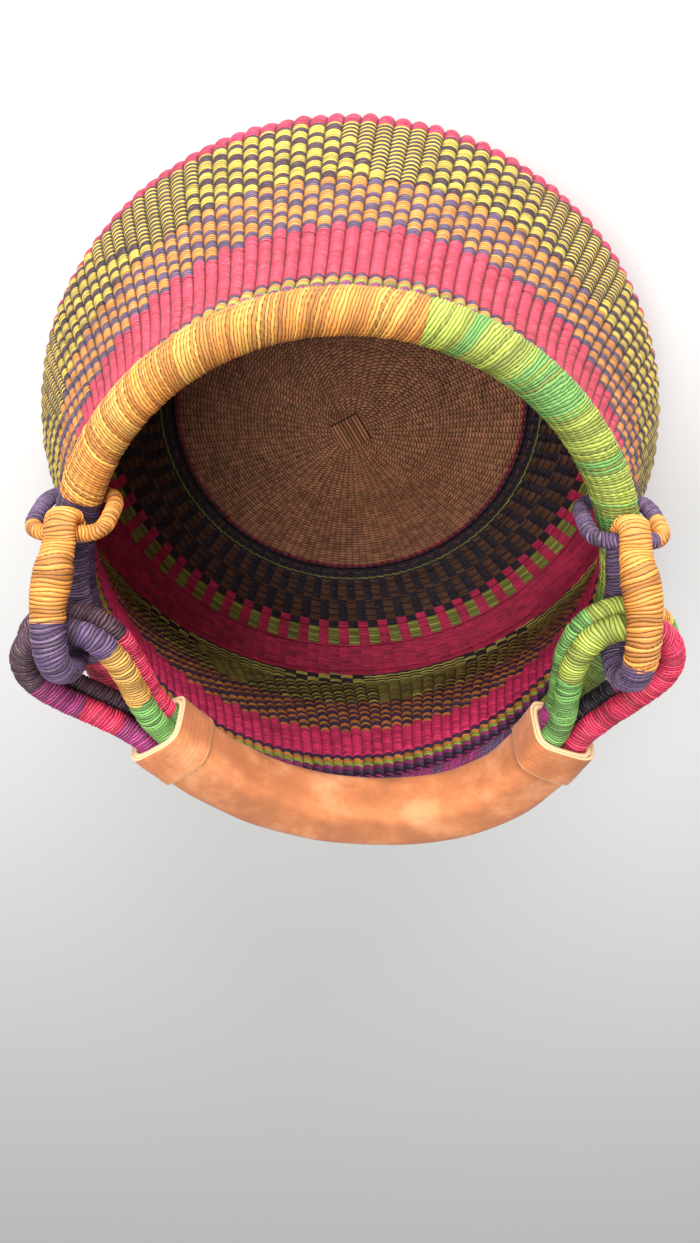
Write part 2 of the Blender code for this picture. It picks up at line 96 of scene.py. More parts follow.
# Rim hoop and rings
HOOP_HEIGHT = 0.229
HOOP_RADIUS = 0.011
HOOP_COIL_RADIUS = 0.0103
HOOP_DRAWN_IN = 0.0020
CLEARANCE = 0.0003
RING_STRAND = 0.00375
RING_HALF_WIDTH = 0.0175
RING_SQUARENESS = 4.0
RING_POINTS = 48
LEFT_PIVOT = joint_place("left_link_swing")
RIGHT_PIVOT = joint_place("right_link_swing")
HANDLE_PIVOT = joint_place("handle_swing")
RING_BOTTOM = HOOP_HEIGHT - HOOP_RADIUS - CLEARANCE - RING_STRAND

# Links
LINK_REACH = RIGHT_PIVOT.y - HANDLE_PIVOT.y
LINK_SPLAY = 0.0036
LINK_HALF_WIDTH = 0.0075
LINK_EYE_RADIUS = RING_STRAND + 0.0006
LINK_RING_STRAND = 0.0042
LINK_BODY_STRAND = 0.0090
LINK_TOP_STRAND = 0.0080
LINK_TIP_STRAND = 0.0060
LINK_UNDER_STRAND = 0.0045
LINK_BEND_RADIUS = 0.0172
LINK_SWELL_SHARE = 0.45
LINK_SHIFT_START_SHARE = 0.10
LINK_SHIFT_END_SHARE = 0.70
LINK_PATH_STEPS = (12, 10, 16, 8)
LINK_DYE_CHANGES = {-1: 0.33, 1: 0.41}

# Handle
ROD_RADIUS = 0.0063
LOOP_RADIUS = 0.0225
LOOP_X = RIGHT_PIVOT.x + LINK_SPLAY
LAYER_OFFSET = ROD_RADIUS + CLEARANCE / 2
HANDLE_DEPTH = 0.141
HANDLE_TURNS = {-1: math.radians(38), 1: math.radians(24)}
RIGHT_LOOP_BACK = 0.008
END_PULL = 0.057
MIDDLE_PULL = 0.090
GRIP_SHIFT = 0.020
GRIP_START_SHARE = 0.333
GRIP_TUCK_SHARE = 0.04
LEATHER = 0.0022
LEATHER_PLAY = 0.0012
LEATHER_SQUARENESS = 4.0
GRIP_INNER = LAYER_OFFSET + ROD_RADIUS + LEATHER_PLAY
GRIP_OUTER = GRIP_INNER + LEATHER
CUFF_THICKNESS = 0.0014
CUFF_OUTER = GRIP_OUTER + CLEARANCE + CUFF_THICKNESS
CUFF_LENGTH_SHARE = 0.12
GRIP_HEIGHT = HOOP_HEIGHT + HOOP_RADIUS * math.cos(math.pi / 8) + CLEARANCE + GRIP_OUTER
HANDLE_DIP = math.asin((HANDLE_PIVOT.z - GRIP_HEIGHT) / HANDLE_DEPTH)
HANDLE_UP = (0.0, -math.sin(HANDLE_DIP), math.cos(HANDLE_DIP))

# Wall: faces across a rib, its roundness as the power of a sine, the slant of its straws in
# strands, and how far the ribs lean round between rim and base, in radians
RIB_COLUMNS = 7
RIB_ROUNDNESS = 0.65
STRAND_SLANT = 0.5
RIM_STRAND_SLANT = 1.5
WALL_TWIST = 0.11

# Unevenness of the handwork, as shares of a strand's width and of a rib's relief
STRAND_WANDER = 0.35
RIB_WANDER = 0.30
STRAW_WANDER = 0.14

# Relief of the ribs, as shares: how much lies under the solid's face, what is left at the hoop
# and where it starts to fade, what shows inside low down and high up, and where that changes
RIB_SUNK_SHARE = 0.55
HOOP_RELIEF_SHARE = 0.15
HOOP_FADE_SHARE = 0.02
INSIDE_RELIEF_LOW = 0.30
INSIDE_RELIEF_HIGH = 0.85
INSIDE_CHANGE_START = 0.33
INSIDE_CHANGE_LENGTH = 0.12

# Base: inside each of the doubling radii its ribs are half as many
BASE_RIB_COLUMNS = 4
BASE_RIB_ROUNDNESS = 0.7
BASE_RIB_RELIEF = 0.0011
BASE_RIB_SUNK = 0.0006
BASE_DOUBLING_RADII = (0.058, 0.026)
BASE_STRAND = 0.0024
BASE_STRAND_SLANT = 0.7
BASE_RELIEF_END_SHARE = 0.995
BASE_UNDER_STEPS = 24
BASE_EDGE_RADIUS = 0.1215
BASE_EDGE_RING = 0.0025
BASE_OFF_CENTRE = 0.005
BASE_PALE = (0.62, 0.37, 0.20)
START_STRAWS = 9
START_STRAW_COLUMNS = 6
START_TURN = math.radians(30)
START_HALF_SHARE = 0.46
START_RELIEF = 0.0006

# Wraps: steps to a straw, sides round, a straw's roundness and sunk share, how many straws of an
# end lie straight and how many differ, how far a change of dye wanders, as a share of the wrap,
# a straw's width, and how many straws a turn leads on
COIL_STEPS = 5
COIL_SIDES = 18
COIL_ROUNDNESS = 0.75
COIL_SUNK_SHARE = 0.63
COIL_STRAIGHT_STRAWS = 3
COIL_CHANCES = 4096
COIL_DYE_WANDER = 0.012
RING_PITCH = 0.0015
LINK_PITCH = 0.0019
HOOP_LEAD = -12
RING_LEAD = 2
LINK_LEAD = 3
HANDLE_LEAD = 4

# Leather: sides round, steps along, the sewn edge's place round it, width and height, and how
# far before the cuffs it ends and fades, as shares of the grip's half
LEATHER_SIDES = 64
GRIP_STEPS = 120
CUFF_STEPS = 24
SEAM_TURN = math.radians(315)
SEAM_WIDTH = 0.16
SEAM_LIP = 0.0022
SEAM_CUFF_GAP = 0.02
SEAM_FADE = 0.03

MERGE = 1e-7
SEED = 7

# Bands of the wall from the base up: node, end as a share of the wall's length, strands, dyes
WALL_BAND_SHARES = (
    ("edge_rows", 0.060, 12, ("crimson", "black", "brown", "olive")),
    ("checked_rows", 0.196, 26, ("black", "brown", "crimson")),
    ("olive_rows", 0.257, 12, ("crimson", "olive", "black", "lime")),
    ("crimson_rows", 0.345, 16, ("crimson",)),
    ("yellow_rows", 0.600, 42, ("yellow", "aubergine", "crimson")),
    ("orange_rows", 0.762, 25, ("orange", "violet", "pink")),
    ("pink_rows", 0.912, 26, ("pink", "orange", "violet")),
    ("rim_rows", 1.0, 14, ("violet", "orange", "lime", "magenta", "black")),
)

# Dyes of the strands round the base's edge and of those under the hoop, as places in the
# lists above
EDGE_STRAND_DYES = (1, 1, 2, 1, 1, 1, 3, 1)
RIM_STRAND_DYES = (0, 0, 1, 1, 2, 2, 3, 3, 0, 0, 4, 3, 4, 4)

# Dyes that the light has faded outside and that are still deep inside
INSIDE_DYES = {"yellow": "inner_yellow", "aubergine": "inner_dark", "pink": "inner_pink",
               "orange": "inner_orange", "violet": "inner_violet"}

# Bars of the checked rows: strands in each, how many of them the edge rows already hold, how
# often a strand of another dye crosses a bar or tooth, and how many of the last let crimson in
BAR_STRANDS = 13
BAR_OFFSET = 4
CROSSING_STRANDS = 4
CRIMSON_TIP_STRANDS = 4

# Strands in one cell of the coarse checks
CELL_STRANDS = 6

# Edges of bands drift round the wall: strands of crimson in the yellow band at the far side, how
# many more at the near side, orange checks in the pink band at the far side, and where they start
CRIMSON_OVERLAP_FAR = 2
CRIMSON_DRIFT = 12
PINK_DRIFT = 7
DRIFT_START = 0.55

# Slanting fields of fine lines in the yellow band, in ribs: how many, the first one's middle,
# half their width at the lower and upper edges, how far they lean, and how far a tip reaches
FINE_FIELDS = 9
FINE_FIELD_PLACE = 33.3
FINE_FIELD_LOW = 4.3
FINE_FIELD_HIGH = 1.1
FINE_FIELD_LEAN = 1.8
FINE_FIELD_TIP = 3.2

# Wraps round the hoop: where the first one starts, and each one's name, end and dyes, as shares
# of a turn from +X
HOOP_WRAP_START = 0.214
HOOP_WRAPS = (
    ("orange", 0.436, "orange amber"),
    ("violet", 0.542, "violet"),
    ("pink", 0.597, "pink"),
    ("magenta", 0.883, "magenta violet"),
    ("green", 1.214, "lime green"),
)

# Wraps round each half of the handle's loops, from one leather end to the other: name, end as a
# share, dyes, and where they change
HANDLE_WRAPS = {
    "upper_left": (("magenta", 0.12, "magenta"), ("red", 0.22, "red"), ("pink", 0.34, "magenta"),
                   ("purple", 0.58, "aubergine"), ("violet", 0.68, "violet"), ("ochre", 0.84, "ochre"),
                   ("green", 1.0, "green")),
    "upper_right": (("red", 0.52, "red"), ("green", 0.76, "lime"), ("lime", 1.0, "green")),
    "lower_left": (("purple", 0.86, "aubergine red", 0.80), ("green", 1.0, "red green", 0.70)),
    "lower_right": (("purple", 0.20, "black"), ("green", 0.44, "magenta green", 0.85),
                    ("orange", 0.62, "orange lime", 0.30), ("magenta", 1.0, "green magenta", 0.80)),
}

# Camera, as seen from above the mouth's +Y side, turned over like the photograph
CAMERA_PLACE = Vector((0.0018, 0.2730, 0.6273))
CAMERA_TILT = 0.6273
CAMERA_ROLL = 0.0146
CAMERA_LENS_MM = 26.9
CAMERA_SENSOR_MM = 36.0

# Lamps: name, place, size and power, and what they and the sky light
LAMPS = (("key", (-0.28, 0.42, 1.22), 0.6, 11.4), ("fill", (0.10, 1.20, 0.56), 0.8, 22.0))
LAMP_AIM = Vector((0, 0, 0.1))
SKY_COLOUR = (0.95, 0.97, 1.0, 1.0)
SKY_STRENGTH = 0.55
FLOOR_COLOUR = (0.72, 0.71, 0.69, 1.0)
FLOOR_SIZE = 8.0


def dye_property(name, colour):
    return bpy.props.FloatVectorProperty(
        name=name, description="Colour of the straw dyed " + name.lower(), subtype="COLOR",
        size=3, min=0.0, max=1.0, default=colour)


class BasketSizes(bpy.types.PropertyGroup):
    """Sizes of the weave and of the wraps."""
    ribs: bpy.props.IntProperty(
        name="Ribs", description="Number of ribs round the wall, a multiple of four", default=136, min=20)
    rib_relief: bpy.props.FloatProperty(
        name="Rib relief", description="How far a rib stands out between two hollows", default=0.0025,
        unit="LENGTH")
    coil_pitch: bpy.props.FloatProperty(
        name="Coil pitch", description="Width of one straw of the wraps", default=0.0016, unit="LENGTH")
    coil_relief: bpy.props.FloatProperty(
        name="Coil relief", description="How far one straw stands out of a wrap", default=0.0007,
        unit="LENGTH")


class BasketDyes(bpy.types.PropertyGroup):
    """Dyes of the straw and colours of the leather."""
    base: dye_property("Reddish brown", (0.34, 0.142, 0.066))
    black: dye_property("Black purple", (0.014, 0.009, 0.020))
    brown: dye_property("Brown orange", (0.118, 0.044, 0.016))
    olive: dye_property("Olive", (0.215, 0.225, 0.036))
    crimson: dye_property("Crimson", (0.61, 0.020, 0.092))
    dark_red: dye_property("Dark red", (0.22, 0.012, 0.035))
    yellow: dye_property("Yellow", (0.71, 0.50, 0.070))
    aubergine: dye_property("Aubergine", (0.065, 0.026, 0.046))
    orange: dye_property("Orange", (0.76, 0.285, 0.052))
    amber: dye_property("Amber", (0.74, 0.36, 0.070))
    violet: dye_property("Violet", (0.115, 0.065, 0.145))
    pink: dye_property("Pink", (0.72, 0.048, 0.105))
    magenta: dye_property("Magenta", (0.33, 0.030, 0.160))
    green: dye_property("Green", (0.15, 0.34, 0.078))
    lime: dye_property("Yellow green", (0.37, 0.44, 0.065))
    ochre: dye_property("Ochre", (0.52, 0.27, 0.055))
    red: dye_property("Red", (0.68, 0.026, 0.090))
    inner_yellow: dye_property("Deep yellow", (0.60, 0.57, 0.10))
    inner_dark: dye_property("Deep purple black", (0.026, 0.016, 0.030))
    inner_pink: dye_property("Deep pink", (0.84, 0.032, 0.155))
    inner_orange: dye_property("Deep orange", (0.74, 0.27, 0.050))
    inner_violet: dye_property("Deep violet", (0.075, 0.035, 0.095))
    straw: dye_property("Natural straw", (0.70, 0.48, 0.22))
    leather: dye_property("Leather", (0.52, 0.172, 0.060))
    raw_edge: dye_property("Raw leather edge", (0.86, 0.56, 0.30))


def sizes():
    return bpy.context.scene.basket_sizes


def dye(name):
    return (*getattr(bpy.context.scene.basket_dyes, name), 1.0)


# Materials

def add_node(tree, kind, links=(), **values):
    """Add a node, set its own values and its sockets, and link what feeds it."""
    made = tree.nodes.new("ShaderNode" + kind)
    for key, value in values.items():
        setattr(made, key, value)
    for socket, source in links:
        if isinstance(source, bpy.types.NodeSocket):
            tree.links.new(source, made.inputs[socket])
        else:
            made.inputs[socket].default_value = source
    return made


def math_node(tree, operation, *values):
    return add_node(tree, "Math", list(enumerate(values)), operation=operation).outputs[0]


def weighted_sum(tree, *terms):
    """The sum of values, each times its own weight."""
    total = math_node(tree, "MULTIPLY", *terms[0])
    for term in terms[1:]:
        total = math_node(tree, "ADD", total, math_node(tree, "MULTIPLY", *term))
    return total


def move_range(tree, value, low_in, high_in, low_out, high_out, kind="LINEAR"):
    links = ((0, value), (1, low_in), (2, high_in), (3, low_out), (4, high_out))
    return add_node(tree, "MapRange", links, interpolation_type=kind).outputs[0]


def noise(tree, place, scale, detail, roughness=0.5):
    links = (("Vector", place), ("Scale", scale), ("Detail", detail), ("Roughness", roughness))
    return add_node(tree, "TexNoise", links).outputs["Fac"]


def object_place(tree):
    return add_node(tree, "TexCoord").outputs["Object"]


def read_attribute(tree, name):
    return add_node(tree, "Attribute", attribute_name=name).outputs["Fac"]


def shade_colour(tree, colour, factor):
    return add_node(tree, "VectorMath", ((0, colour), (1, factor)), operation="MULTIPLY").outputs[0]


def mix_colour(tree, share, first, second):
    return add_node(tree, "Mix", ((0, share), (6, first), (7, second)), data_type="RGBA").outputs[2]


def new_group(name, **inputs):
    """A shared group that puts out colour, roughness and height, and what it is given."""
    group = bpy.data.node_groups.new(name, "ShaderNodeTree")
    outputs = {"Color": "Color", "Roughness": "Float", "Height": "Float"}
    for direction, sockets in (("INPUT", inputs), ("OUTPUT", outputs)):
        for label, kind in sockets.items():
            group.interface.new_socket(label, in_out=direction, socket_type="NodeSocket" + kind)
    return group, group.nodes.new("NodeGroupInput").outputs


def put_out(group, *sources):
    result = group.nodes.new("NodeGroupOutput")
    for socket, source in zip(result.inputs, sources):
        group.links.new(source, socket)


def make_straw_group():
    """Dyed straw: blotched dye with fine lengthwise fibres, and painted shade between strands and in the
    hollows between ribs.

    Fibre runs along the straw in X and counts the straws in Y.
    """
    group, given = new_group("dyed_straw", Dye="Color", Depth="Float", Tone="Float", Worn="Float",
                             Fibre="Vector", Gap="Float", Valley="Float", Contrast="Float", Pale="Color")
    place = object_place(group)
    blotch = noise(group, place, 75.0, 3.0)
    patch = noise(group, place, 14.0, 1.0)
    stretched = add_node(group, "Mapping", (("Vector", given["Fibre"]), ("Scale", (1.2, 4.5, 1.0))))
    fibre = noise(group, stretched.outputs[0], 1.0, 3.0, 0.7)
    count = add_node(group, "SeparateXYZ", ((0, given["Fibre"]),)).outputs[1]
    wave = math_node(group, "SINE", math_node(group, "MULTIPLY", count, math.pi))
    ridge = math_node(group, "ABSOLUTE", wave)
    tone = weighted_sum(group, (fibre, 0.9), (given["Tone"], 0.7), (blotch, 0.7), (patch, 0.5))
    uneven = math_node(group, "MULTIPLY", math_node(group, "SUBTRACT", tone, 1.4), given["Contrast"])
    shaded = shade_colour(group, given["Dye"], math_node(group, "ADD", uneven, 1.0))
    fleck = move_range(group, fibre, 0.54, 0.76, 0.0, 0.6)
    wear = math_node(group, "ADD", math_node(group, "MULTIPLY", given["Worn"], 0.8), 0.2)
    faded = mix_colour(group, math_node(group, "MULTIPLY", fleck, wear), shaded, given["Pale"])
    # Painted shade: darker at each strand's edges and in the hollows between ribs, where shade would fall.
    between = move_range(group, ridge, 0.0, given["Valley"], given["Gap"], 1.0, "SMOOTHSTEP")
    hollow_shade = move_range(group, given["Depth"], 0.0, 0.62, 0.20, 1.0, "SMOOTHSTEP")
    put_out(group, shade_colour(group, faded, math_node(group, "MULTIPLY", between, hollow_shade)),
            move_range(group, fibre, 0.3, 0.7, 0.42, 0.66),
            weighted_sum(group, (ridge, 0.7), (fibre, 0.6)))


def make_leather_group():
    """Soft veg-tanned leather: mottled, creased, paler where an edge is cut."""
    group, given = new_group("soft_leather", Hide="Color", Raw="Color", Edge="Float")
    place = object_place(group)
    mottle = noise(group, place, 34.0, 6.0, 0.62)
    patch = noise(group, place, 11.0, 2.0)
    grain = noise(group, place, 900.0, 3.0)
    crease = add_node(group, "TexVoronoi", (("Vector", place), ("Scale", 420.0)),
                      feature="DISTANCE_TO_EDGE").outputs[0]
    tone = math_node(group, "ADD", weighted_sum(group, (mottle, 1.25), (patch, 0.75)), 0.02)
    hide = shade_colour(group, given["Hide"], tone)
    pale = mix_colour(group, move_range(group, mottle, 0.50, 0.78, 0.0, 0.40), hide, given["Raw"])
    put_out(group, mix_colour(group, given["Edge"], pale, given["Raw"]),
            move_range(group, patch, 0.3, 0.7, 0.55, 0.78),
            weighted_sum(group, (grain, 0.6), (crease, 0.5)))


def new_material(name):
    material = bpy.data.materials.new(name)
    material.use_nodes = True
    return material, material.node_tree, material.node_tree.nodes["Principled BSDF"].inputs


def link_bump(tree, shader, height, strength, distance):
    bump = add_node(tree, "Bump", (("Height", height), ("Strength", strength), ("Distance", distance)))
    tree.links.new(bump.outputs[0], shader["Normal"])


def add_finish(tree, shader, name, strength, distance):
    """Add a shared group to a material, with its height as a bump."""
    finish = add_node(tree, "Group", node_tree=bpy.data.node_groups[name])
    tree.links.new(finish.outputs["Color"], shader["Base Color"])
    tree.links.new(finish.outputs["Roughness"], shader["Roughness"])
    link_bump(tree, shader, finish.outputs["Height"], strength, distance)
    return finish.inputs


def straw_material(name, dyes, gap=0.14, valley=0.86, contrast=0.95, pale=(0.90, 0.74, 0.52)):
    """Straw whose dye is picked, stitch by stitch, by the piece's own dye attribute."""
    material, tree, shader = new_material(name)
    ramp = add_node(tree, "ValToRGB", ((0, read_attribute(tree, "dye")),))
    shades = ramp.color_ramp
    shades.interpolation = "CONSTANT"
    while len(shades.elements) < len(dyes):
        shades.elements.new(1.0)
    while len(shades.elements) > len(dyes):
        shades.elements.remove(shades.elements[-1])
    for i, element in enumerate(shades.elements):
        element.position = i / len(dyes)
        element.color = dye(dyes[i])
    straw = add_finish(tree, shader, "dyed_straw", 0.9, 0.0006)
    tree.links.new(ramp.outputs[0], straw["Dye"])
    tree.links.new(add_node(tree, "UVMap").outputs[0], straw["Fibre"])
    for label in ("depth", "tone", "worn"):
        tree.links.new(read_attribute(tree, label), straw[label.capitalize()])
    # gap and valley set the painted shade between strands: how dark it gets and how wide it spreads.
    for label, value in (("Gap", gap), ("Valley", valley), ("Contrast", contrast), ("Pale", (*pale, 1.0))):
        straw[label].default_value = value
    shader["Specular IOR Level"].default_value = 0.35
    return material


def leather_material(name):
    material, tree, shader = new_material(name)
    leather = add_finish(tree, shader, "soft_leather", 0.35, 0.0005)
    leather["Hide"].default_value = dye("leather")
    leather["Raw"].default_value = dye("raw_edge")
    tree.links.new(read_attribute(tree, "edge"), leather["Edge"])
    shader["Specular IOR Level"].default_value = 0.3
    shader["Sheen Weight"].default_value = 0.15
    return material


def plain_straw_material(name, colour):
    """Undyed straw for the bundles inside the wraps."""
    material, tree, shader = new_material(name)
    grain = noise(tree, object_place(tree), 300.0, 3.0)
    shaded = shade_colour(tree, colour[:3], math_node(tree, "ADD", grain, 0.45))
    tree.links.new(shaded, shader["Base Color"])
    link_bump(tree, shader, grain, 0.4, 0.0005)
    shader["Roughness"].default_value = 0.65
    return material


# Rolled grids

def grid_mesh(name, columns, rows):
    """A unit grid from one operator, with each vertex's column and row, counted from zero."""
    bm = bmesh.new()
    bmesh.ops.create_grid(bm, x_segments=columns, y_segments=rows, size=0.5)
    mesh = bpy.data.meshes.new(name)
    bm.to_mesh(mesh)
    bm.free()
    flat = np.empty(len(mesh.vertices) * 3)
    mesh.vertices.foreach_get("co", flat)
    flat = flat.reshape(-1, 3)
    return mesh, np.rint((flat[:, 0] + 0.5) * columns), np.rint((flat[:, 1] + 0.5) * rows)


def corners_of(mesh):
    corners = np.empty(len(mesh.loops), dtype=np.int32)
    mesh.loops.foreach_get("vertex_index", corners)
    return corners


def face_means(mesh, *values):
    """The mean of each value over each four-sided face's corners."""
    corners = corners_of(mesh).reshape(-1, 4)
    return [value[corners].mean(axis=1) for value in values]


def set_uv(mesh, along, across):
    corners = corners_of(mesh)
    layer = mesh.uv_layers.new(name="UVMap")
    layer.data.foreach_set("uv", np.stack([along[corners], across[corners]], axis=1).ravel())


def set_attribute(mesh, name, domain, values):
    layer = mesh.attributes.new(name, "FLOAT", domain)
    layer.data.foreach_set("value", np.full(len(layer.data), values, dtype=np.float32))


def set_straw(mesh, depth, worn, tone, picked, dyes):
    """What straw shows: painted light and wear at each point, tone and the picked dye on each face; low
    painted light is painted shade in hollows.
    """
    set_attribute(mesh, "depth", "POINT", depth)
    set_attribute(mesh, "worn", "POINT", worn)
    set_attribute(mesh, "tone", "FACE", tone)
    set_attribute(mesh, "dye", "FACE", (picked + 0.5) / len(dyes))


def add_object(name, data):
    made = bpy.data.objects.new(name, data)
    bpy.context.collection.objects.link(made)
    return made


def finish_piece(name, mesh, places, material, body, *nodes):
    """Set the rolled grid's places, close its seams, hang it on its body and hide the solids it stands for.
    """
    mesh.vertices.foreach_set("co", np.asarray(places, dtype=np.float32).ravel())
    bm = bmesh.new()
    bm.from_mesh(mesh)
    bmesh.ops.remove_doubles(bm, verts=bm.verts, dist=MERGE)
    bmesh.ops.dissolve_degenerate(bm, edges=bm.edges, dist=MERGE)
    bmesh.ops.recalc_face_normals(bm, faces=bm.faces)
    bm.to_mesh(mesh)
    bm.free()
    mesh.shade_smooth()
    mesh.materials.append(material)
    piece = add_object(name, mesh)
    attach(piece, body)
    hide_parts(*nodes)


def random_table(*shape):
    return np.random.default_rng(SEED).random(shape)


# Curves

def unit(vectors):
    return vectors / np.linalg.norm(vectors, axis=1)[:, None]


def right_of(along):
    return np.stack([along[:, 1], -along[:, 0]], axis=1)


def lengths_along(points):
    return np.concatenate([[0.0], np.cumsum(np.linalg.norm(np.diff(points, axis=0), axis=1))])


def smooth_step(value):
    held = np.clip(value, 0.0, 1.0)
    return held * held * (3 - 2 * held)


def bezier(corners, share):
    rest = 1 - share
    a, b, c, d = corners
    return a * rest ** 3 + b * (3 * rest ** 2 * share) + c * (3 * rest * share ** 2) + d * share ** 3


# Wall

def wall_outline():
    """The wall's outside as radius, height and outward normal, with the share of its length."""
    half = OUTLINE_POINTS // 2
    turn = np.radians(90) * np.arange(half) / half
    lower = np.stack([BASE_RADIUS + (BELLY_RADIUS - BASE_RADIUS) * np.sin(turn),
                      BELLY_HEIGHT * (1 - np.cos(turn))], axis=1)
    rise = WALL_TOP_HEIGHT - BELLY_HEIGHT
    out = BELLY_RADIUS - WALL_TOP_RADIUS
    corners = np.array(((BELLY_RADIUS, BELLY_HEIGHT),
                        (BELLY_RADIUS, BELLY_HEIGHT + SHOULDER_SHARE * rise),
                        (WALL_TOP_RADIUS - NECK_IN_SHARE * out, BELLY_HEIGHT + NECK_HEIGHT_SHARE * rise),
                        (WALL_TOP_RADIUS, WALL_TOP_HEIGHT)))
    share = np.arange(half + 1)[:, None] / half
    points = np.concatenate([lower, bezier(corners, share)])
    length = lengths_along(points)
    return points, right_of(unit(np.gradient(points, axis=0))), length / length[-1]


def mouth_squeeze(height):
    climb = smooth_step((height - BELLY_HEIGHT) / (HOOP_HEIGHT - BELLY_HEIGHT))
    return 1 - MOUTH_NARROWING / MOUTH_RADIUS * climb


def bar_dye(rib, strand):
    """Staggered upright bars of black and brown."""
    brown = (rib + strand // BAR_STRANDS) % 2 * (strand % CROSSING_STRANDS != 2)
    return 1 + brown


def edge_dye(rib, strand, strands, inside):
    """Thin rings round the base, the brown one on every other rib, then the first bars."""
    rings = len(EDGE_STRAND_DYES)
    picked = np.array(EDGE_STRAND_DYES)[np.minimum(strand, rings - 1)]
    picked = np.where((picked == 2) & (rib % 2 == 0), 1, picked)
    return np.where(strand >= rings, bar_dye(rib, strand - rings), picked)


def checked_dye(rib, strand, strands, inside):
    """The bars go on; the last strands already let crimson in on every other rib."""
    picked = bar_dye(rib, strand + BAR_OFFSET) - 1
    return np.where((strand >= strands - CRIMSON_TIP_STRANDS) & (rib % 2 == 1), 2, picked)


def olive_dye(rib, strand, strands, inside):
    """Olive teeth on every other rib, on a crimson ground."""
    tooth = np.where(strand % CROSSING_STRANDS == 1, 3, 1)
    return np.where((rib % 2 == 0) & (strand < strands - 1), tooth, 0)


def coarse_dye(rib, strand, inside):
    """Staggered cells: the light dye has the larger share outside and the dark one inside."""
    half = CELL_STRANDS // 2
    place = strand + half * (rib % 2)
    light = half + (place // CELL_STRANDS + rib // 2) % 2 - inside
    return np.where(place % CELL_STRANDS < light, 0, 1)


def near_share(rib):
    """One at the +Y side and none at the far side: the bands' edges drift round the basket."""
    return 0.5 + 0.5 * np.sin(2 * np.pi * rib / sizes().ribs)


def yellow_dye(rib, strand, strands, inside):
    """Slanting fields of fine lines among coarse staggered checks."""
    ribs = sizes().ribs
    period = ribs / FINE_FIELDS
    rise = strand / strands
    from_middle = (rib - FINE_FIELD_PLACE + FINE_FIELD_LEAN * rise + period / 2) % period - period / 2
    field = (rib - FINE_FIELD_PLACE + period / 2) // period % 2
    half = FINE_FIELD_LOW + (FINE_FIELD_HIGH - FINE_FIELD_LOW) * rise
    tip = np.where((from_middle > 0) & (field == 1), FINE_FIELD_TIP * (1 - np.abs(2 * rise - 1)), 0)
    picked = np.where(np.abs(from_middle) < half + tip, strand % 2, coarse_dye(rib, strand, inside))
    return np.where(strand < CRIMSON_OVERLAP_FAR + CRIMSON_DRIFT * near_share(rib), 2, picked)


def orange_dye(rib, strand, strands, inside):
    """Checks that end unevenly in pink at the near side."""
    ends = (strand >= strands - 1 - CELL_STRANDS // 2 * (rib % 2)) & (near_share(rib) > DRIFT_START)
    return np.where(ends, 2, coarse_dye(rib, strand, inside))


def pink_dye(rib, strand, strands, inside):
    """Plain pink, but for a few strands of the orange band's checks that run on at the far side."""
    drift = PINK_DRIFT * (1 - near_share(rib)) - CELL_STRANDS // 2 * (rib % 2)
    runs_on = (strand < drift) & (near_share(rib) <= DRIFT_START)
    return np.where(runs_on, 1 + coarse_dye(rib, strand + 1, inside), 0)


def crimson_dye(rib, strand, strands, inside):
    return 0 * rib


def rim_dye(rib, strand, strands, inside):
    return np.array(RIM_STRAND_DYES)[strand]


BAND_PATTERNS = {"edge_rows": edge_dye, "checked_rows": checked_dye, "olive_rows": olive_dye,
                 "crimson_rows": crimson_dye, "yellow_rows": yellow_dye, "orange_rows": orange_dye,
                 "pink_rows": pink_dye, "rim_rows": rim_dye}


def saw_slant(part):
    """A twined straw's slant: a steady climb over its rib and a quick fall behind it."""
    climb = 1 - 1 / RIB_COLUMNS
    return np.where(part <= climb, part / climb, (1 - part) / (1 - climb)) - 0.5


